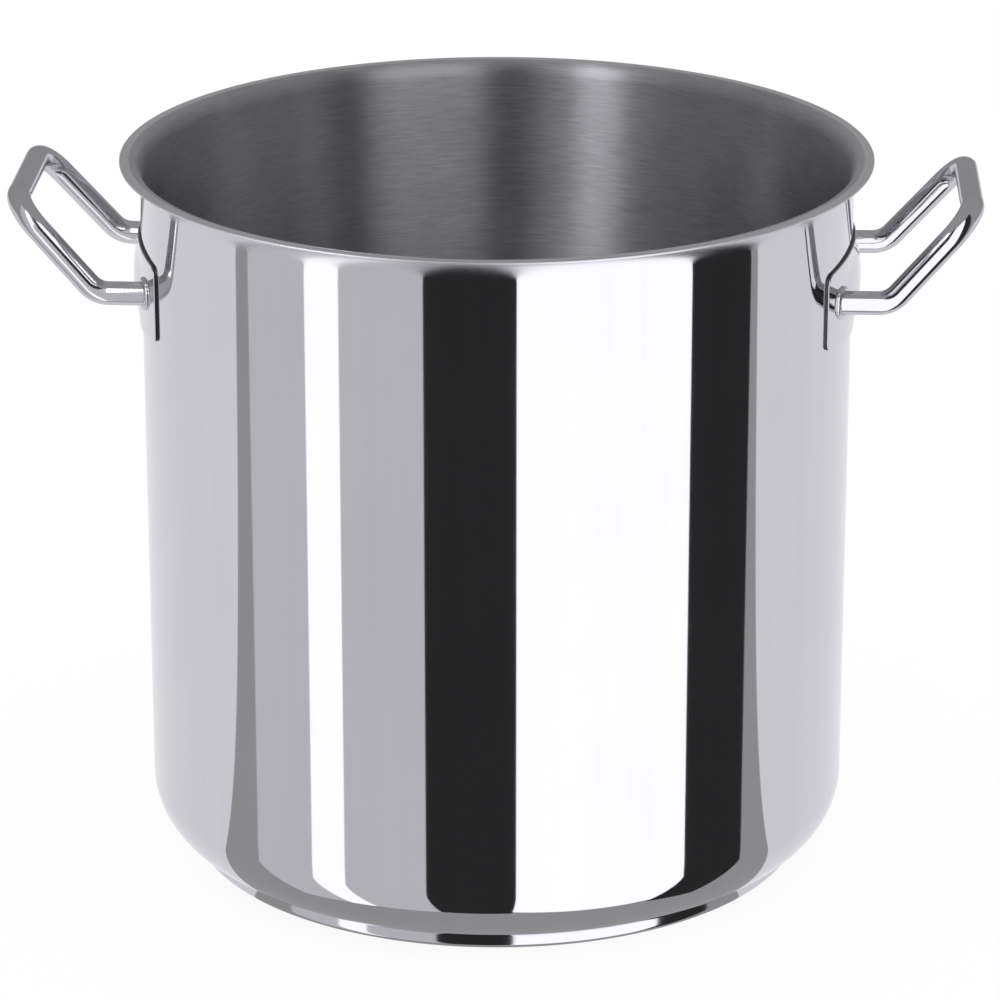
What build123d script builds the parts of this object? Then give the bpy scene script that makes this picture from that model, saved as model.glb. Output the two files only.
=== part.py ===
from build123d import *
import os
from math import asin, cos, radians, sin, sqrt

# Stainless-steel stock pot, nominal 36 cm: a drawn shell with a pouring rim, a sandwich base
# and two fixed tube handles, each welded to an embossed bracket plate on the wall.
# Millimetres, +Z up, origin at the centre of the underside, handles on +X (right) and -X (left).

# Shell
inner_diameter = 360.0
inner_depth = 363.0
wall = 1.2
floor_corner = 31.5  # inside radius between floor and wall

# Pouring rim, sizes on the inner surface
rim_ease_radius = 12.0
rim_ease_turn = 30.0
rim_bend_radius = 5.3
rim_overhang = 11.1  # from the inner wall to the tip of the rim
rim_edge_radius = 0.5

# Sandwich base
base_diameter = 321.0
core_thickness = 4.3
cap_thickness = 0.7
base_edge_radius = 3.0
skirt_blank = 14.0  # height of the base blanks before they are cut to the shell

# Bracket plates
plate_thickness = 1.5
plate_half_angle = 23.25  # around the pot's axis
plate_side_top = 18.4  # the outline, above and below the handle's level
plate_crown_top = 21.7
plate_side_bottom = 19.2
plate_crown_bottom = 25.0
plate_outline_half = 74.0
plate_top_corner = 6.0
plate_bottom_corner = 3.0
plate_reach = 40.0  # half height of the blanks round the plate, taller than the plate
bulge_rise = 2.9
bulge_half_angle = 18.0
bulge_half_height = 20.5
bulge_drop = 1.5  # the bulge's middle, below the handle's level

# Tube handles
tube_diameter = 12.0
tube_wall = 1.2
handle_level = 308.5
arm_spacing = 106.2
grip_spacing = 99.0  # between the arms, where they meet the grip
elbow_x = 199.1
grip_x = 239.3
grip_z = 353.8
elbow_radius = 14.0
grip_corner_radius = 18.0

# Welds
bead_radius = 2.0
bead_inset = 0.6  # the bead's centre line, outside the tube's surface
nugget_diameter = 5.0
nugget_angle = 20.6
nugget_pitch = 12.0
nugget_in_wall = 0.5
nugget_in_plate = 0.75

# Values that follow from them
inner_radius = inner_diameter / 2
outer_radius = inner_radius + wall
base_radius = base_diameter / 2
base_thickness = cap_thickness + core_thickness
floor_z = base_thickness + wall
rim_z = floor_z + inner_depth
tube_radius = tube_diameter / 2
plate_face = outer_radius + plate_thickness
bulge_z = handle_level - bulge_drop
bulge_axis_x = bulge_rise / (1 - cos(radians(bulge_half_angle)))


def drawn_shell():
    """Floor, wall and pouring rim as one sheet: the inner surface, thickened outwards."""
    ease_rise = rim_ease_radius * sin(radians(rim_ease_turn))
    bend_rise = rim_bend_radius * (1 - sin(radians(rim_ease_turn)))
    with BuildPart() as shell:
        with BuildSketch(Plane.XZ):
            with BuildLine():
                floor = Line((0, floor_z), (inner_radius - floor_corner, floor_z))
                corner = JernArc(floor @ 1, floor % 1, floor_corner, 90)
                side = Line(corner @ 1, (inner_radius, rim_z - ease_rise - bend_rise))
                ease = JernArc(side @ 1, side % 1, rim_ease_radius, -rim_ease_turn)
                bend = JernArc(ease @ 1, ease % 1, rim_bend_radius, rim_ease_turn - 90)
                Line(bend @ 1, (inner_radius + rim_overhang, rim_z))
                offset(amount=wall, side=Side.RIGHT)
            section = make_face()
            fillet(section.vertices().group_by(Axis.X)[-1], rim_edge_radius)
        revolve(axis=Axis.Z)
        add(spot_nuggets(), mode=Mode.SUBTRACT)
        add(spot_nuggets(), rotation=(0, 0, 180), mode=Mode.SUBTRACT)
    return shell


def shell_underside():
    """The lower end of the shell as a filled body, to cut the base pieces to its shape."""
    with BuildPart() as body:
        with BuildSketch(Plane.XY.offset(base_thickness)):
            Circle(outer_radius)
        extrude(amount=2 * floor_corner)
        fillet(body.edges().group_by(Axis.Z)[0], floor_corner + wall)
    return body.part


def base_disc(radius, bottom, edge_radius):
    """A round disc blank with a rolled lower edge."""
    with BuildPart() as disc:
        with BuildSketch(Plane.XY.offset(bottom)):
            Circle(radius)
        extrude(amount=skirt_blank)
        fillet(disc.edges().group_by(Axis.Z)[0], edge_radius)
    return disc.part


def short_edge(edge):
    """True for an edge that runs through the sheet."""
    return edge.length < 2 * plate_thickness


def round_block(radius, low, high):
    """Upright cylinder on the pot's axis, with its seam turned away from both handles."""
    with BuildPart() as block:
        with BuildSketch(Plane.XY.offset(low).rotated((0, 0, 90))):
            Circle(radius)
        extrude(amount=high - low)
    return block.part


def barrel(face_radius):
    """A barrel on an upright axis inside the pot; its crown stands out of the wall as a lens."""
    crown_radius = (bulge_half_height**2 + bulge_rise**2) / (2 * bulge_rise)
    half_height = bulge_half_height + plate_thickness
    girth = face_radius + bulge_rise - bulge_axis_x
    end = girth - crown_radius + sqrt(crown_radius**2 - half_height**2)
    with BuildPart() as body:
        profile = Plane(origin=(bulge_axis_x, 0, bulge_z), x_dir=(-1, 0, 0), z_dir=(0, 1, 0))
        with BuildSketch(profile):
            with BuildLine():
                crown = ThreePointArc((end, -half_height), (girth, 0), (end, half_height))
                Polyline(crown @ 1, (0, half_height), (0, -half_height), crown @ 0)
            make_face()
        revolve(axis=Axis((bulge_axis_x, 0, 0), (0, 0, 1)))
    return body.part


def plate_front():
    """Everything inside the bracket's outer face, to cut the tube and its welds to that face."""
    with BuildPart() as body:
        add(round_block(plate_face, handle_level - plate_reach, handle_level + plate_reach))
        add(barrel(plate_face))
    return body.part


def spot_nuggets():
    """Resistance welds that join the bracket's flange to the wall, half in each sheet."""
    planes = []
    for angle in (-nugget_angle, nugget_angle):
        outward = (cos(radians(angle)), sin(radians(angle)), 0)
        foot = outer_radius - nugget_in_wall
        for step in (-1, 0, 1):
            origin = (foot * outward[0], foot * outward[1], handle_level + step * nugget_pitch)
            planes.append(Plane(origin=origin, z_dir=outward))
    with BuildPart() as nuggets:
        with BuildSketch(*planes):
            Circle(nugget_diameter / 2)
        extrude(amount=nugget_in_wall + nugget_in_plate)
    return nuggets.part


def bracket_plate():
    """Sheet curved to the wall, with an arched outline and a lens-shaped bulge between the arms."""
    with BuildPart() as plate:
        with BuildSketch(Plane.XZ.rotated((0, 0, -plate_half_angle))):
            with Locations(((inner_radius + plate_face) / 2, handle_level)):
                Rectangle(plate_face - inner_radius, 2 * plate_reach)
        revolve(axis=Axis.Z, revolution_arc=2 * plate_half_angle)
        with BuildSketch(Plane.YZ):
            with BuildLine():
                top = ThreePointArc(
                    (plate_outline_half, handle_level + plate_side_top),
                    (0, handle_level + plate_crown_top),
                    (-plate_outline_half, handle_level + plate_side_top),
                )
                bottom = ThreePointArc(
                    (-plate_outline_half, handle_level - plate_side_bottom),
                    (0, handle_level - plate_crown_bottom),
                    (plate_outline_half, handle_level - plate_side_bottom),
                )
                Line(top @ 1, bottom @ 0)
                Line(bottom @ 1, top @ 0)
            make_face()
        extrude(amount=2 * outer_radius, mode=Mode.INTERSECT)
        fillet(plate.edges().filter_by(short_edge).group_by(Axis.Z)[-1], plate_top_corner)
        fillet(plate.edges().filter_by(short_edge).group_by(Axis.Z)[0], plate_bottom_corner)
        add(barrel(plate_face))
        add(
            round_block(outer_radius, handle_level - plate_reach, handle_level + plate_reach),
            mode=Mode.SUBTRACT,
        )
        add(barrel(outer_radius), mode=Mode.SUBTRACT)
        add(spot_nuggets(), mode=Mode.SUBTRACT)
    return plate


def handle_tube():
    """Round tube: out from the bracket, up through two elbows, and across as the grip."""
    root_x = outer_radius * cos(asin(arm_spacing / 2 / outer_radius)) - tube_diameter
    near = [
        (root_x, -arm_spacing / 2, handle_level),
        (elbow_x, -arm_spacing / 2, handle_level),
        (grip_x, -grip_spacing / 2, grip_z),
    ]
    far = [(x, -y, z) for x, y, z in reversed(near)]
    radii = [elbow_radius, grip_corner_radius, grip_corner_radius, elbow_radius]
    with BuildPart() as tube:
        with BuildLine() as route:
            FilletPolyline(*near, *far, radius=radii)
        with BuildSketch(Plane(origin=route.line @ 0, z_dir=route.line % 0)):
            Circle(tube_radius)
            Circle(tube_radius - tube_wall, mode=Mode.SUBTRACT)
        sweep()
        add(plate_front(), mode=Mode.SUBTRACT)
    return tube


def tube_bead(side):
    """Weld bead round the end of one arm, where the tube stands on the bracket plate."""
    lean = side * asin(arm_spacing / 2 / plate_face)
    seat = (plate_face * cos(lean), plate_face * sin(lean), handle_level)
    with BuildPart() as bead:
        with Locations(Plane(origin=seat, z_dir=(cos(lean), sin(lean), 0))):
            Torus(tube_radius + bead_inset, bead_radius)
        with BuildSketch(Plane(origin=(0, seat[1], handle_level), z_dir=(1, 0, 0))):
            Circle(tube_radius)
        extrude(amount=2 * outer_radius, mode=Mode.SUBTRACT)
        add(plate_front(), mode=Mode.SUBTRACT)
    return bead


def mirrored(piece):
    """The same piece on the other side of the pot."""
    with BuildPart() as twin:
        mirror(piece.part, about=Plane.YZ)
    return twin


# Pot body
pot_shell = drawn_shell()

with BuildPart() as base_core:
    add(base_disc(base_radius - cap_thickness, cap_thickness, base_edge_radius - cap_thickness))
    add(shell_underside(), mode=Mode.SUBTRACT)

with BuildPart() as base_cap:
    add(base_disc(base_radius, 0, base_edge_radius))
    add(
        base_disc(base_radius - cap_thickness, cap_thickness, base_edge_radius - cap_thickness),
        mode=Mode.SUBTRACT,
    )
    add(shell_underside(), mode=Mode.SUBTRACT)

# Right handle
handle_plate_right = bracket_plate()
handle_tube_right = handle_tube()
tube_weld_right_front = tube_bead(-1)
tube_weld_right_back = tube_bead(1)

with BuildPart() as spot_welds_right:
    add(spot_nuggets())

pieces = {
    "pot_shell": pot_shell,
    "base_core": base_core,
    "base_cap": base_cap,
    "handle_plate_right": handle_plate_right,
    "handle_tube_right": handle_tube_right,
    "tube_weld_right_front": tube_weld_right_front,
    "tube_weld_right_back": tube_weld_right_back,
    "spot_welds_right": spot_welds_right,
    "handle_plate_left": mirrored(handle_plate_right),
    "handle_tube_left": mirrored(handle_tube_right),
    "tube_weld_left_front": mirrored(tube_weld_right_front),
    "tube_weld_left_back": mirrored(tube_weld_right_back),
    "spot_welds_left": mirrored(spot_welds_right),
}

os.makedirs("parts", exist_ok=True)
for name, piece in pieces.items():
    piece.part.label = name
    export_step(piece.part, f"parts/{name}.step")
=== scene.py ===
import math

import bpy
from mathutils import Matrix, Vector


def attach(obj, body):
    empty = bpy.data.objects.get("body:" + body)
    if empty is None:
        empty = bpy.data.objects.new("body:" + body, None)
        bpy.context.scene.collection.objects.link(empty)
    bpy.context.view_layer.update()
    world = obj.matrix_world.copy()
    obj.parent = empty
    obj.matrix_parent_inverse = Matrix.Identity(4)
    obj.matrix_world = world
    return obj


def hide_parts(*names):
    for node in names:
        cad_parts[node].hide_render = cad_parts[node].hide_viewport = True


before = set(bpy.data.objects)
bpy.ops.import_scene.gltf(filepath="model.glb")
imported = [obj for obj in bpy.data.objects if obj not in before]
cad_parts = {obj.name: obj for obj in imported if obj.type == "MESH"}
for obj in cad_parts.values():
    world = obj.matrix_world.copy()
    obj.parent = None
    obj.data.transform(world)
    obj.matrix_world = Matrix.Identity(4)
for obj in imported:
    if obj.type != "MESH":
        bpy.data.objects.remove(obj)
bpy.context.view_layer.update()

# Sizes in millimetres, as the CAD source has them
MM = 0.001
INNER_RADIUS = 180.0
WALL = 1.2
OUTER_RADIUS = INNER_RADIUS + WALL
FLOOR_Z = 6.2
RIM_Z = 369.2
FLOOR_CORNER = 31.5
RIM_EASE_RADIUS = 12.0
RIM_EASE_TURN = 30.0
RIM_BEND_RADIUS = 5.3
RIM_OVERHANG = 11.08  # a hair less than the CAD's, to stay inside its box
RIM_EDGE_RADIUS = 0.5
BASE_RADIUS = 160.5
CAP_THICKNESS = 0.7
BASE_EDGE_RADIUS = 3.0
PLATE_THICKNESS = 1.5
PLATE_FACE = OUTER_RADIUS + PLATE_THICKNESS
PLATE_HALF_ANGLE = math.radians(23.25)
PLATE_SIDE_TOP = 18.4
PLATE_CROWN_TOP = 21.7
PLATE_SIDE_BOTTOM = 19.2
PLATE_CROWN_BOTTOM = 25.0
PLATE_OUTLINE_HALF = 74.0
PLATE_TOP_CORNER = 6.0
PLATE_BOTTOM_CORNER = 3.0
PLATE_EDGE_RADIUS = 0.45
BULGE_RISE = 2.9
BULGE_HALF_ANGLE = math.radians(18.0)
BULGE_HALF_HEIGHT = 20.5
BULGE_DROP = 1.5
BULGE_BLEND = 0.3
TUBE_RADIUS = 6.0
HANDLE_LEVEL = 308.5
ARM_HALF = 53.1
GRIP_HALF = 49.5
ELBOW_X = 199.1
GRIP_X = 239.3
GRIP_Z = 353.8
ELBOW_RADIUS = 14.0
GRIP_CORNER_RADIUS = 18.0
BEAD_RADIUS = 2.0
BEAD_INSET = 0.6
BULGE_Z = HANDLE_LEVEL - BULGE_DROP
BULGE_AXIS_X = BULGE_RISE / (1 - math.cos(BULGE_HALF_ANGLE))
CROWN_RADIUS = (BULGE_HALF_HEIGHT**2 + BULGE_RISE**2) / (2 * BULGE_RISE)
LATHE_SEGMENTS = 720
LATHE_SHARP = 35.0
CAP_GAP = 0.02  # between the cap's upper edge and the shell
TUBE_SEAT = 0.8  # below the plate's face, at the tube's centre line
TUBE_SUNK = 1.5  # further along the tube

# Mesh steps of a plate, and of the tubes and beads
PLATE_ROWS = 56
PLATE_END_STEPS = 14
PLATE_MIDDLE_STEPS = 150
PLATE_EDGE_STEPS = 4
TUBE_AROUND = 72
BEAD_AROUND = 160
BEAD_SECTION = 20
BEAD_SLIMMING = 0.97
BEAD_RIPPLES = ((17, 1, 0.035), (5, 2, 0.03))  # waves round the bead, phase factor, height
BEAD_PHASE_FRONT = 1.9
BEAD_PHASE_BACK = 0.7

# Finishes, heights in metres above the underside
SATIN_START = RIM_Z * MM - 0.0117
SATIN_END = RIM_Z * MM - 0.0017
SATIN_ROUGHNESS = 0.38
BUMP_DEPTH = 0.0001
STEEL_TINT = (1.0, 0.994, 1.045)
NOISE_LOW = 0.3
NOISE_HIGH = 0.7
LINES_SHARE = 0.55
CLOUD_SHARE = 0.45
CLOUD_SCALE = 14.0
ANISOTROPIC_TURN = 0.25
SLOT_INSIDE = 1
SLOT_RIM = 2
SLOT_LIP = 3


# ---------------------------------------------------------------- mesh helpers
def add_piece(name, verts, faces, material, replaces, sharp=40.0):
    """A smooth mesh piece from points in millimetres, riding on the root body."""
    mesh = bpy.data.meshes.new(name)
    mesh.from_pydata([(x * MM, y * MM, z * MM) for x, y, z in verts], [], faces)
    mesh.validate()
    mesh.polygons.foreach_set("use_smooth", [True] * len(mesh.polygons))
    mesh.set_sharp_from_angle(angle=math.radians(sharp))
    mesh.materials.append(material)
    piece = bpy.data.objects.new(name, mesh)
    bpy.context.scene.collection.objects.link(piece)
    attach(piece, "root")
    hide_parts(replaces)
    return piece


def arc(centre, radius, start, end, steps):
    """Points on an arc in the profile plane, angles in degrees from the +r axis."""
    points = []
    for i in range(steps + 1):
        a = math.radians(start + (end - start) * i / steps)
        points.append((centre[0] + radius * math.cos(a), centre[1] + radius * math.sin(a)))
    return points


def line(start, end, steps):
    """Points between two profile points, both ends left out."""
    return [
        (
            start[0] + (end[0] - start[0]) * i / steps,
            start[1] + (end[1] - start[1]) * i / steps,
        )
        for i in range(1, steps)
    ]


def lathe(profile, segments):
    """Turns a profile whose two ends lie on the axis. Gives points and faces."""
    verts = [(0.0, 0.0, profile[0][1])]
    rings = profile[1:-1]
    for r, z in rings:
        for k in range(segments):
            a = 2 * math.pi * k / segments
            verts.append((r * math.cos(a), r * math.sin(a), z))
    verts.append((0.0, 0.0, profile[-1][1]))
    last = len(verts) - 1
    faces = []
    for k in range(segments):
        n = (k + 1) % segments
        faces.append((0, 1 + k, 1 + n))
        for j in range(len(rings) - 1):
            a = 1 + j * segments
            b = a + segments
            faces.append((a + k, b + k, b + n, a + n))
        end = 1 + (len(rings) - 1) * segments
        faces.append((last, end + n, end + k))
    return verts, faces


# ---------------------------------------------------------------- materials
class Nodes:
    """Small helper to add and link shader nodes."""

    def __init__(self, tree):
        self.tree = tree

    def add(self, kind, inputs=None, **settings):
        node = self.tree.nodes.new(kind)
        for key, value in settings.items():
            setattr(node, key, value)
        for key, value in (inputs or {}).items():
            if isinstance(value, bpy.types.NodeSocket):
                self.tree.links.new(value, node.inputs[key])
            else:
                node.inputs[key].default_value = value
        return node

    def math(self, operation, *values):
        node = self.tree.nodes.new("ShaderNodeMath")
        node.operation = operation
        for i, value in enumerate(values):
            if isinstance(value, bpy.types.NodeSocket):
                self.tree.links.new(value, node.inputs[i])
            else:
                node.inputs[i].default_value = value
        return node.outputs[0]

    def ramp(self, factor, stops, interpolation="LINEAR"):
        node = self.tree.nodes.new("ShaderNodeValToRGB")
        node.color_ramp.interpolation = interpolation
        self.tree.links.new(factor, node.inputs[0])
        elements = node.color_ramp.elements
        while len(elements) < len(stops):
            elements.new(0.5)
        for element, (position, colour) in zip(elements, sorted(stops)):
            element.position = position
            element.color = (*colour, 1.0)
        return node.outputs[0]

    def scaled(self, vector, scale):
        node = self.tree.nodes.new("ShaderNodeMapping")
        node.inputs["Scale"].default_value = scale
        self.tree.links.new(vector, node.inputs["Vector"])
        return node.outputs[0]

    def noise(self, vector, scale, detail=3.0, roughness=0.5):
        node = self.add(
            "ShaderNodeTexNoise",
            {"Vector": vector, "Scale": scale, "Detail": detail, "Roughness": roughness},
        )
        return node.outputs["Fac"]

    def spread(self, value, limits):
        """The middle range of a noise, spread over limits."""
        node = self.add(
            "ShaderNodeMapRange",
            {
                "Value": value,
                "From Min": NOISE_LOW,
                "From Max": NOISE_HIGH,
                "To Min": limits[0],
                "To Max": limits[1],
            },
        )
        return node.outputs[0]


def new_material(name):
    material = bpy.data.materials.new(name)
    material.use_nodes = True
    tree = material.node_tree
    tree.nodes.clear()
    nodes = Nodes(tree)
    output = tree.nodes.new("ShaderNodeOutputMaterial")
    shader = tree.nodes.new("ShaderNodeBsdfPrincipled")
    tree.links.new(shader.outputs[0], output.inputs["Surface"])
    return material, nodes, shader


def grey(level):
    """Colour of steel at that brightness."""
    return tuple(level * t for t in STEEL_TINT)


def steel(name, grain, grain_scale, tone, roughness, bump=0.0, anisotropy=0.0, satin=False, turned=True):
    """Stainless steel. grain is the direction of the polishing lines: a scale on each axis.

    With satin, the polish turns to satin just below the rim. turned lines run round the pot's axis
    on the walls and on the flats.
    """
    material, nodes, shader = new_material(name)
    place = nodes.add("ShaderNodeTexCoord").outputs["Object"]
    along = place
    if turned:
        apart = nodes.add("ShaderNodeSeparateXYZ", {0: place})
        flat = nodes.add("ShaderNodeCombineXYZ", {0: apart.outputs[0], 1: apart.outputs[1]})
        radius = nodes.add("ShaderNodeVectorMath", {0: flat.outputs[0]}, operation="LENGTH").outputs["Value"]
        up = nodes.math("ADD", radius, apart.outputs[2])
        along = nodes.add(
            "ShaderNodeCombineXYZ", {0: apart.outputs[0], 1: apart.outputs[1], 2: up}
        ).outputs[0]
    lines = nodes.noise(nodes.scaled(along, grain), grain_scale, 4.0, 0.65)
    cloud = nodes.noise(place, CLOUD_SCALE, 3.0, 0.55)
    line_part = nodes.math("MULTIPLY", lines, LINES_SHARE)
    cloud_part = nodes.math("MULTIPLY", cloud, CLOUD_SHARE)
    mixed = nodes.math("ADD", line_part, cloud_part)
    colour = nodes.ramp(mixed, [(NOISE_LOW, grey(tone[0])), (NOISE_HIGH, grey(tone[1]))])
    nodes.tree.links.new(colour, shader.inputs["Base Color"])
    rough = nodes.spread(mixed, roughness)
    if satin:
        height = nodes.add("ShaderNodeSeparateXYZ", {0: place}).outputs[2]
        band = nodes.add(
            "ShaderNodeMapRange",
            {"Value": height, "From Min": SATIN_START, "From Max": SATIN_END, "To Max": SATIN_ROUGHNESS},
        )
        rough = nodes.math("ADD", rough, band.outputs[0])
    nodes.tree.links.new(rough, shader.inputs["Roughness"])
    shader.inputs["Metallic"].default_value = 1.0
    if bump:
        raised = nodes.add(
            "ShaderNodeBump", {"Height": lines, "Strength": bump, "Distance": BUMP_DEPTH}
        )
        nodes.tree.links.new(raised.outputs[0], shader.inputs["Normal"])
    if anisotropy:
        shader.inputs["Anisotropic"].default_value = anisotropy
        shader.inputs["Anisotropic Rotation"].default_value = ANISOTROPIC_TURN
        around = nodes.add("ShaderNodeTangent", direction_type="RADIAL", axis="Z")
        nodes.tree.links.new(around.outputs[0], shader.inputs["Tangent"])
    return material


ALONG_Z = (1.0, 1.0, 0.05)
ROUND_AXIS = (1.0, 1.0, 16.0)
EVEN = (1.0, 1.0, 1.0)
polished = steel(
    "polished_wall", (1.0, 1.0, 0.02), 60.0, (0.60, 0.64), (0.03, 0.05), satin=True, turned=False
)
brushed = steel("brushed_inside", ROUND_AXIS, 75.0, (0.36, 0.66), (0.36, 0.45), 0.05, anisotropy=1.0)
rim_steel = steel("satin_rim", ROUND_AXIS, 70.0, (0.56, 0.64), (0.20, 0.27), 0.02)
# The lip's rounded edge is a lighter copy of the rim steel: painted highlight for the bright line along the
# rim; its higher roughness is the satin finish
lip_highlight_steel = steel("satin_lip_painted_highlight", ROUND_AXIS, 70.0, (0.66, 0.76), (0.42, 0.52), 0.02)
plate_steel = steel("polished_plate", ALONG_Z, 60.0, (0.59, 0.65), (0.05, 0.09), 0.02, turned=False)
# Near-black tone on the plate's edge faces: painted shadow for the shade in the gap between plate and wall;
# the roughness is a real finish
painted_shadow_edge_steel = steel("painted_shadow_edge", EVEN, 400.0, (0.05, 0.12), (0.35, 0.50), 0.02, turned=False)
tube_steel = steel("polished_tube", EVEN, 60.0, (0.58, 0.64), (0.09, 0.12), turned=False)
tube_shader = tube_steel.node_tree.nodes["Principled BSDF"]
tube_shader.inputs["Specular Tint"].default_value = (0.8, 0.8, 0.82, 1.0)
weld_steel = steel("weld_bead", EVEN, 260.0, (0.50, 0.64), (0.14, 0.26), 0.25, turned=False)
cap_steel = steel("base_cap_steel", (1.0, 1.0, 30.0), 30.0, (0.58, 0.65), (0.06, 0.11), 0.02)
turned_steel = steel(
    "turned_underside", (0.2, 0.2, 14.0), 60.0, (0.46, 0.64), (0.22, 0.34), 0.12, anisotropy=0.6
)


def aluminium():
    """Plain matt aluminium, sealed in the base."""
    material, nodes, shader = new_material("core_metal")
    place = nodes.add("ShaderNodeTexCoord").outputs["Object"]
    mill = nodes.noise(nodes.scaled(place, (1.0, 30.0, 1.0)), 30.0, 4.0, 0.6)
    colour = nodes.ramp(mill, [(NOISE_LOW, (0.74, 0.74, 0.75)), (NOISE_HIGH, (0.82, 0.82, 0.83))])
    nodes.tree.links.new(colour, shader.inputs["Base Color"])
    nodes.tree.links.new(nodes.spread(mill, (0.3, 0.42)), shader.inputs["Roughness"])
    shader.inputs["Metallic"].default_value = 1.0
    return material


# ---------------------------------------------------------------- pot shell
def shell_profile():
    """Closed half section: the inside from the centre up, round the rim, and the outside down."""
    turn = RIM_EASE_TURN
    ease_z = RIM_Z - RIM_EASE_RADIUS * math.sin(math.radians(turn))
    ease_z -= RIM_BEND_RADIUS * (1 - math.sin(math.radians(turn)))
    corner_centre = (INNER_RADIUS - FLOOR_CORNER, FLOOR_Z + FLOOR_CORNER)
    ease_centre = (INNER_RADIUS + RIM_EASE_RADIUS, ease_z)
    ease_end = arc(ease_centre, RIM_EASE_RADIUS, 180 - turn, 180 - turn, 1)[0]
    toward = (math.cos(math.radians(180 - turn)), math.sin(math.radians(180 - turn)))
    bend_centre = (
        ease_end[0] - RIM_BEND_RADIUS * toward[0],
        ease_end[1] - RIM_BEND_RADIUS * toward[1],
    )
    tip = INNER_RADIUS + RIM_OVERHANG
    edge = RIM_EDGE_RADIUS
    inside = [(0.0, FLOOR_Z)]
    inside += line((0, FLOOR_Z), (corner_centre[0], FLOOR_Z), 12)
    inside += arc(corner_centre, FLOOR_CORNER, -90, 0, 30)
    inside += line((INNER_RADIUS, corner_centre[1]), (INNER_RADIUS, ease_z), 40)
    inside += arc(ease_centre, RIM_EASE_RADIUS, 180, 180 - turn, 10)
    inside += arc(bend_centre, RIM_BEND_RADIUS, 180 - turn, 90, 14)[1:]
    inside += line((bend_centre[0], RIM_Z), (tip - edge, RIM_Z), 4)
    inside += arc((tip - edge, RIM_Z - edge), edge, 90, 0, 6)
    outside = arc((tip - edge, RIM_Z - WALL + edge), edge, 0, -90, 6)
    outside += line((tip - edge, RIM_Z - WALL), (bend_centre[0], RIM_Z - WALL), 4)
    outside += arc(bend_centre, RIM_BEND_RADIUS - WALL, 90, 180 - turn, 14)
    outside += arc(ease_centre, RIM_EASE_RADIUS - WALL, 180 - turn, 180, 10)[1:]
    outside += line((OUTER_RADIUS, ease_z), (OUTER_RADIUS, corner_centre[1]), 40)
    outside += arc(corner_centre, FLOOR_CORNER + WALL, 0, -90, 36)
    outside += line((corner_centre[0], FLOOR_Z - WALL), (0, FLOOR_Z - WALL), 6)
    outside.append((0.0, FLOOR_Z - WALL))
    return inside, outside, bend_centre[0]


inside, outside, lip_start = shell_profile()
verts, faces = lathe(inside + outside, LATHE_SEGMENTS)
shell = add_piece("pot_shell_sheet", verts, faces, polished, "pot_shell", LATHE_SHARP)
for finish in (brushed, rim_steel, lip_highlight_steel):
    shell.data.materials.append(finish)
inner_rings = len(inside) - 1
for polygon in shell.data.polygons:
    ring = (min(polygon.vertices) - 1) // LATHE_SEGMENTS
    middle = sum((shell.data.vertices[i].co for i in polygon.vertices), Vector()) / len(polygon.vertices)
    radius = math.hypot(middle.x, middle.y) / MM
    # Faces of the rounded lip take the lighter lip steel, a painted highlight line
    if radius > INNER_RADIUS + RIM_OVERHANG - RIM_EDGE_RADIUS:
        polygon.material_index = SLOT_LIP
    elif radius > lip_start:
        polygon.material_index = SLOT_RIM
    elif ring < inner_rings:
        polygon.material_index = SLOT_INSIDE


# ---------------------------------------------------------------- sandwich base
def cap_profile():
    """Closed half section of the cap, which ends against the shell's corner."""
    corner_centre = (INNER_RADIUS - FLOOR_CORNER, FLOOR_Z + FLOOR_CORNER)
    reach = FLOOR_CORNER + WALL
    top_out = corner_centre[1] - math.sqrt(reach**2 - (BASE_RADIUS - corner_centre[0]) ** 2)
    inner = BASE_RADIUS - CAP_THICKNESS
    top_in = corner_centre[1] - math.sqrt(reach**2 - (inner - corner_centre[0]) ** 2)
    centre = (BASE_RADIUS - BASE_EDGE_RADIUS, BASE_EDGE_RADIUS)
    profile = [(0.0, CAP_THICKNESS)]
    profile += line((0, CAP_THICKNESS), (centre[0], CAP_THICKNESS), 4)
    profile += arc(centre, BASE_EDGE_RADIUS - CAP_THICKNESS, -90, 0, 6)
    profile += [(inner, top_in - CAP_GAP), (BASE_RADIUS, top_out - CAP_GAP)]
    profile += line((BASE_RADIUS, top_out - CAP_GAP), (BASE_RADIUS, centre[1]), 6)
    profile += arc(centre, BASE_EDGE_RADIUS, 0, -90, 14)
    profile += line((centre[0], 0), (0, 0), 30)
    profile.append((0.0, 0.0))
    return profile


verts, faces = lathe(cap_profile(), LATHE_SEGMENTS)
cap = add_piece("base_cap_disc", verts, faces, cap_steel, "base_cap", LATHE_SHARP)
cap.data.materials.append(turned_steel)
for polygon in cap.data.polygons:
    if polygon.normal.z < -0.999:
        polygon.material_index = 1


# ---------------------------------------------------------------- bracket plates
def bulge(angle, height, face):
    """How far the pressed bulge stands out of a sheet surface at that place."""
    girth = face + BULGE_RISE - BULGE_AXIS_X
    drop = min(abs(height - BULGE_Z), CROWN_RADIUS)
    ring = girth - CROWN_RADIUS + math.sqrt(CROWN_RADIUS**2 - drop**2)
    across = BULGE_AXIS_X * math.sin(angle)
    reach = BULGE_AXIS_X * math.cos(angle) + math.sqrt(max(ring**2 - across**2, 0.0))
    over = reach - face
    return 0.5 * (over + math.sqrt(over**2 + 4 * BULGE_BLEND**2))


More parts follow.
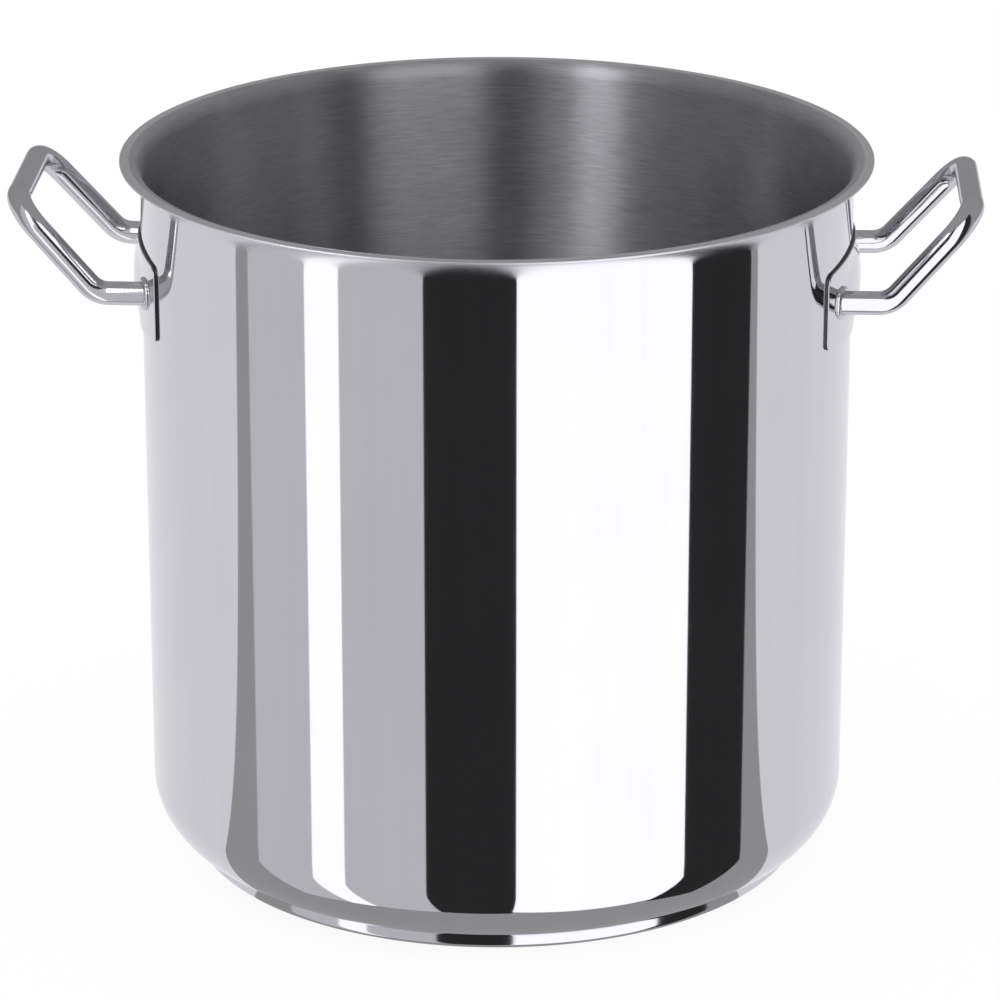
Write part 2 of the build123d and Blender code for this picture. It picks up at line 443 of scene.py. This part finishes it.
def outline_limits(angle, inset):
    """Top and bottom of the plate's outline at that angle, pulled in by inset."""
    y = PLATE_FACE * math.sin(angle)
    top_rise = PLATE_CROWN_TOP - PLATE_SIDE_TOP
    top_radius = (PLATE_OUTLINE_HALF**2 + top_rise**2) / (2 * top_rise)
    bottom_rise = PLATE_CROWN_BOTTOM - PLATE_SIDE_BOTTOM
    bottom_radius = (PLATE_OUTLINE_HALF**2 + bottom_rise**2) / (2 * bottom_rise)
    top = HANDLE_LEVEL + PLATE_CROWN_TOP - top_radius + math.sqrt(top_radius**2 - y**2) - inset
    bottom = HANDLE_LEVEL - PLATE_CROWN_BOTTOM + bottom_radius - math.sqrt(bottom_radius**2 - y**2) + inset
    to_end = max(PLATE_FACE * (PLATE_HALF_ANGLE - abs(angle)) - inset, 0.0)
    for corner, side in ((PLATE_TOP_CORNER, -1), (PLATE_BOTTOM_CORNER, 1)):
        radius = corner - inset
        if to_end < radius:
            cut = radius - math.sqrt(radius**2 - (radius - to_end) ** 2)
            if side < 0:
                top -= cut
            else:
                bottom += cut
    return bottom, top


def plate_columns(inset):
    """Angles of the plate's columns, close together at the rounded ends."""
    half = PLATE_HALF_ANGLE - inset / PLATE_FACE
    end_zone = (PLATE_TOP_CORNER + 1.0) / PLATE_FACE
    ends = PLATE_END_STEPS
    steps = PLATE_MIDDLE_STEPS
    left = [-half + end_zone * (1 - math.cos(math.pi / 2 * k / ends)) for k in range(ends)]
    middle = [-half + end_zone + 2 * (half - end_zone) * k / steps for k in range(steps + 1)]
    return left + middle + [-a for a in reversed(left)]


def plate_mesh(side):
    """Curved sheet with rounded front edges. side is 1 at +X and -1 at -X.

    Gives points, faces, and where the faces of the cut edge start and end.
    """
    rows = PLATE_ROWS
    columns = len(plate_columns(0.0))
    verts = []
    faces = []

    def point(angle, height, radius):
        return (side * radius * math.cos(angle), radius * math.sin(angle), height)

    def grid(inset, face):
        start = len(verts)
        for angle in plate_columns(inset):
            low, high = outline_limits(angle, inset)
            for j in range(rows + 1):
                z = low + (high - low) * j / rows
                verts.append(point(angle, z, face + bulge(angle, z, face)))
        return start

    def edge_indices():
        loop = [(i, 0) for i in range(columns)]
        loop += [(columns - 1, j) for j in range(1, rows + 1)]
        loop += [(i, rows) for i in range(columns - 2, -1, -1)]
        loop += [(0, j) for j in range(rows - 1, 0, -1)]
        return loop

    loop = edge_indices()

    def ring(inset, radius, face):
        start = len(verts)
        angles = plate_columns(inset)
        for i, j in loop:
            low, high = outline_limits(angles[i], inset)
            z = low + (high - low) * j / rows
            verts.append(point(angles[i], z, radius + bulge(angles[i], z, face)))
        return start

    def quad(a, b, c, d):
        faces.append((a, b, c, d) if side > 0 else (d, c, b, a))

    front = grid(PLATE_EDGE_RADIUS, PLATE_FACE)
    for i in range(columns - 1):
        for j in range(rows):
            a = front + i * (rows + 1) + j
            b = a + rows + 1
            quad(a, b, b + 1, a + 1)
    previous = [front + i * (rows + 1) + j for i, j in loop]
    for k in range(1, PLATE_EDGE_STEPS + 1):
        a = math.pi / 2 * k / PLATE_EDGE_STEPS
        inset = PLATE_EDGE_RADIUS * (1 - math.sin(a))
        start = ring(inset, PLATE_FACE - PLATE_EDGE_RADIUS * (1 - math.cos(a)), PLATE_FACE)
        current = [start + n for n in range(len(loop))]
        for n in range(len(loop)):
            m = (n + 1) % len(loop)
            quad(previous[n], current[n], current[m], previous[m])
        previous = current
    edge_start = len(faces)
    back = grid(0.0, OUTER_RADIUS)
    current = [back + i * (rows + 1) + j for i, j in loop]
    for n in range(len(loop)):
        m = (n + 1) % len(loop)
        quad(previous[n], current[n], current[m], previous[m])
    edge_end = len(faces)
    for i in range(columns - 1):
        for j in range(rows):
            a = back + i * (rows + 1) + j
            b = a + rows + 1
            quad(a + 1, b + 1, b, a)
    return verts, faces, (edge_start, edge_end)


# ---------------------------------------------------------------- handle tubes
def filleted_route(points, radii, step=2.0):
    """The route's line with rounded corners, as close points."""
    route = [points[0]]
    for before, corner, after, radius in zip(points, points[1:], points[2:], radii):
        u = (before - corner).normalized()
        v = (after - corner).normalized()
        half = u.angle(v) / 2
        cut = radius / math.tan(half)
        bisector = (u + v).normalized()
        centre = corner + bisector * (radius / math.sin(half))
        start = corner + u * cut - centre
        turn = math.pi - 2 * half
        normal = start.cross(corner + v * cut - centre).normalized()
        steps = max(4, int(math.degrees(turn) / step))
        for k in range(steps + 1):
            a = turn * k / steps
            route.append(centre + start * math.cos(a) + normal.cross(start) * math.sin(a))
    route.append(points[-1])
    return route


def densified(route, longest=3.0):
    """The same line with its long runs divided."""
    dense = [route[0]]
    for a, b in zip(route, route[1:]):
        parts = max(1, int((b - a).length / longest))
        dense += [a + (b - a) * k / parts for k in range(1, parts + 1)]
    return dense


def tube_mesh(side, around=TUBE_AROUND):
    """Round tube swept along its route, with flat ends sunk into the plate and wall.

    Known fault: next to the handle's middle the flat ends come through the wall by 1.1 mm, and show
    inside the pot as four small dark segments. The CAD's tubes are cut to the plate's face instead.
    """
    root_x = (PLATE_FACE - TUBE_SEAT) * math.cos(math.asin(ARM_HALF / PLATE_FACE))
    near = [
        Vector((root_x - TUBE_SUNK, -ARM_HALF, HANDLE_LEVEL)),
        Vector((ELBOW_X, -ARM_HALF, HANDLE_LEVEL)),
        Vector((GRIP_X, -GRIP_HALF, GRIP_Z)),
    ]
    far = [Vector((p.x, -p.y, p.z)) for p in reversed(near)]
    radii = [ELBOW_RADIUS, GRIP_CORNER_RADIUS, GRIP_CORNER_RADIUS, ELBOW_RADIUS]
    route = densified(filleted_route(near + far, radii))
    verts = []
    faces = []
    normal = Vector((0, 0, 1))
    for i, p in enumerate(route):
        ahead = route[min(i + 1, len(route) - 1)] - route[max(i - 1, 0)]
        ahead.normalize()
        normal = (normal - ahead * normal.dot(ahead)).normalized()
        across = ahead.cross(normal)
        for k in range(around):
            a = 2 * math.pi * k / around
            q = p + TUBE_RADIUS * (math.cos(a) * normal + math.sin(a) * across)
            verts.append((side * q.x, q.y, q.z))
    for i in range(len(route) - 1):
        for k in range(around):
            n = (k + 1) % around
            quad = (i * around + k, i * around + n, (i + 1) * around + n, (i + 1) * around + k)
            faces.append(quad if side < 0 else quad[::-1])
    first = tuple(range(around))
    last = tuple((len(route) - 1) * around + k for k in range(around))
    faces.append(first if side > 0 else first[::-1])
    faces.append(last[::-1] if side > 0 else last)
    return verts, faces


def bead_mesh(side, end, around=BEAD_AROUND, section=BEAD_SECTION):
    """Weld bead that follows the plate round one arm, with the ripple of its runs."""
    verts = []
    faces = []
    phase = BEAD_PHASE_BACK if end > 0 else BEAD_PHASE_FRONT
    reach = TUBE_RADIUS + BEAD_INSET
    for i in range(around):
        a = 2 * math.pi * i / around
        outward = Vector((0, math.cos(a), math.sin(a)))
        ripple = 1 + sum(h * math.sin(n * a + f * phase) for n, f, h in BEAD_RIPPLES)
        radius = BEAD_RADIUS * BEAD_SLIMMING * ripple
        y = end * ARM_HALF + reach * outward.y
        z = HANDLE_LEVEL + reach * outward.z
        angle = math.asin(y / PLATE_FACE)
        seat = PLATE_FACE + bulge(angle, z, PLATE_FACE)
        up = Vector((math.cos(angle), 0, 0))
        centre = Vector((seat * math.cos(angle), y, z))
        for k in range(section):
            b = 2 * math.pi * k / section
            q = centre + radius * (math.cos(b) * outward + math.sin(b) * up)
            verts.append((side * q.x, q.y, q.z))
    for i in range(around):
        m = (i + 1) % around
        for k in range(section):
            n = (k + 1) % section
            quad = (i * section + k, m * section + k, m * section + n, i * section + n)
            faces.append(quad if side > 0 else quad[::-1])
    return verts, faces


for word, side in (("left", -1), ("right", 1)):
    verts, faces, painted_shadow_faces = plate_mesh(side)
    plate = add_piece(
        f"bracket_plate_{word}", verts, faces, plate_steel, f"handle_plate_{word}"
    )
    # The plate's edge faces take the near-black steel, a painted shadow along the gap at the wall
    plate.data.materials.append(painted_shadow_edge_steel)
    for index in range(*painted_shadow_faces):
        plate.data.polygons[index].material_index = 1
    verts, faces = tube_mesh(side)
    add_piece(f"bent_tube_{word}", verts, faces, tube_steel, f"handle_tube_{word}")
    for end_word, end in (("front", -1), ("back", 1)):
        verts, faces = bead_mesh(side, end)
        add_piece(
            f"bead_{word}_{end_word}", verts, faces, weld_steel, f"tube_weld_{word}_{end_word}"
        )

for node, material in (
    ("base_core", aluminium()),
    ("spot_welds_left", weld_steel),
    ("spot_welds_right", weld_steel),
):
    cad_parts[node].data.materials.clear()
    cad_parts[node].data.materials.append(material)

# ---------------------------------------------------------------- camera
# Fitted to the rim, base and sides of the pot in the photo
CAMERA_TURN = math.radians(2.49)
CAMERA_DROP = math.radians(19.876)
CAMERA_DISTANCE = 13.0792 * OUTER_RADIUS * MM
CAMERA_HEIGHT = 5.7316 * OUTER_RADIUS * MM
CAMERA_SIDE = 0.0089 * OUTER_RADIUS * MM
SENSOR_WIDTH = 36.0
LENS_PER_SENSOR = 4.84455
CLIP_END = 200.0
camera_data = bpy.data.cameras.new("camera")
camera_data.sensor_width = SENSOR_WIDTH
camera_data.lens = SENSOR_WIDTH * LENS_PER_SENSOR
camera_data.clip_end = CLIP_END
camera = bpy.data.objects.new("camera", camera_data)
bpy.context.scene.collection.objects.link(camera)
camera.location = (
    CAMERA_SIDE * math.cos(CAMERA_TURN) + CAMERA_DISTANCE * math.sin(CAMERA_TURN),
    CAMERA_SIDE * math.sin(CAMERA_TURN) - CAMERA_DISTANCE * math.cos(CAMERA_TURN),
    CAMERA_HEIGHT,
)
camera.rotation_euler = (math.pi / 2 - CAMERA_DROP, 0, CAMERA_TURN)
bpy.context.scene.camera = camera


# ---------------------------------------------------------------- studio
# Lengths in metres, angles in degrees from the camera's side, positive to the right
FLOOR_REACH = 40.0
FLOOR_DROP = 0.0003
FLOOR_PAINT = 0.10
FLOOR_GLOW = 0.91
FLOOR_LIGHT_LEVEL = 1.02
TABLE_FRONT = -0.10
TABLE_REACH = 4.0
TABLE_LEVEL = 0.90
SURROUNDINGS_LEVEL = 0.40
LIGHT_TINT = (1.0, 1.0, 1.03)
PANEL_DISTANCE = 0.45
LOW = -0.40
HIGH = 0.45
TOP = 0.85
# Plain upright panels round the pot's front: name, middle, width, bottom, top and brightness
PANELS = [
    ("side_card", -60.0, 20.0, LOW, TOP, 0.70),
    ("strip_box", -46.0, 10.0, LOW, HIGH, 1.60),
    ("grey_card", -30.0, 24.0, LOW, TOP, 0.70),
    ("left_flag", -7.0, 24.0, LOW, TOP, 0.03),
    ("main_box", 29.0, 48.0, LOW, TOP, 1.60),
    ("right_flag", 62.0, 20.0, LOW, TOP, 0.03),
    ("high_box", -37.0, 30.0, HIGH, TOP, 4.0),
]


def stage_mesh(name, verts, faces, material):
    """A mesh of the studio, which isn't part of the object."""
    mesh = bpy.data.meshes.new(name)
    mesh.from_pydata(verts, [], faces)
    mesh.materials.append(material)
    piece = bpy.data.objects.new(name, mesh)
    bpy.context.scene.collection.objects.link(piece)
    return piece


def plain_light(name, level):
    """Even light of one level."""
    material = bpy.data.materials.new(name)
    material.use_nodes = True
    material.node_tree.nodes.clear()
    nodes = Nodes(material.node_tree)
    colour = tuple(t * level for t in LIGHT_TINT) + (1.0,)
    glow = nodes.add("ShaderNodeEmission", {"Color": colour, "Strength": 1.0})
    nodes.add("ShaderNodeOutputMaterial", {"Surface": glow.outputs[0]})
    return material


def mirrored_only(piece):
    """Seen in the steel's reflections, and nowhere else, so that it stands in no view's way."""
    piece.visible_camera = False
    piece.visible_diffuse = False
    piece.visible_shadow = False
    piece.visible_transmission = False
    piece.rotation_euler = (0, 0, CAMERA_TURN)


def panel(name, middle, width, bottom, top, level):
    """A flat upright panel that faces the pot's axis."""
    half = PANEL_DISTANCE * math.tan(math.radians(width / 2))
    turn = math.radians(middle)
    out = Vector((math.sin(turn), -math.cos(turn), 0))
    along = Vector((math.cos(turn), math.sin(turn), 0))
    corners = []
    for across, height in ((-half, bottom), (half, bottom), (half, top), (-half, top)):
        corner = out * PANEL_DISTANCE + along * across
        corners.append((corner.x, corner.y, height))
    mirrored_only(stage_mesh(name, corners, [(0, 1, 2, 3)], plain_light(name, level)))


def level_sheet(name, reach, front, material):
    """A level sheet at the pot's foot, from front back to reach and reach to either side."""
    corners = [(-reach, front), (reach, front), (reach, reach), (-reach, reach)]
    corners = [(x, y, -FLOOR_DROP) for x, y in corners]
    return stage_mesh(name, corners, [(0, 1, 2, 3)], material)


def pale_floor():
    """White floor that takes a faint shadow, and can be seen through from below."""
    material = bpy.data.materials.new("pale_floor")
    material.use_nodes = True
    material.node_tree.nodes.clear()
    nodes = Nodes(material.node_tree)
    matt = nodes.add("ShaderNodeBsdfDiffuse", {"Color": (FLOOR_PAINT, FLOOR_PAINT, FLOOR_PAINT, 1.0)})
    glow = nodes.add("ShaderNodeEmission", {"Color": (1.0, 1.0, 1.0, 1.0), "Strength": FLOOR_GLOW})
    both = nodes.add("ShaderNodeAddShader", {0: matt.outputs[0], 1: glow.outputs[0]})
    clear = nodes.add("ShaderNodeBsdfTransparent")
    underneath = nodes.add("ShaderNodeNewGeometry").outputs["Backfacing"]
    seen = nodes.add("ShaderNodeMixShader", {0: underneath, 1: both.outputs[0], 2: clear.outputs[0]})
    nodes.add("ShaderNodeOutputMaterial", {"Surface": seen.outputs[0]})
    return material


floor = level_sheet("floor", FLOOR_REACH, -FLOOR_REACH, pale_floor())
floor.visible_glossy = False

# The table that the pot stands on, as the steel mirrors it
table_light = plain_light("table_top", TABLE_LEVEL)
mirrored_only(level_sheet("table_top", TABLE_REACH, TABLE_FRONT, table_light))

for panel_row in PANELS:
    panel(*panel_row)

world = bpy.data.worlds.new("studio")
bpy.context.scene.world = world
world.use_nodes = True
world.node_tree.nodes.clear()
room = Nodes(world.node_tree)
paths = room.add("ShaderNodeLightPath")
level = room.add(
    "ShaderNodeMix",
    {0: paths.outputs["Is Diffuse Ray"], 2: SURROUNDINGS_LEVEL, 3: FLOOR_LIGHT_LEVEL},
    data_type="FLOAT",
)
level = room.add(
    "ShaderNodeMix", {0: paths.outputs["Is Camera Ray"], 2: level.outputs[0], 3: 1.0}, data_type="FLOAT"
)
background = room.add("ShaderNodeBackground", {"Color": (1.0, 1.0, 1.0, 1.0), "Strength": level.outputs[0]})
room.add("ShaderNodeOutputWorld", {"Surface": background.outputs[0]})

scene = bpy.context.scene
scene.view_settings.view_transform = "Standard"
scene.view_settings.look = "None"
scene.cycles.glossy_bounces = 10
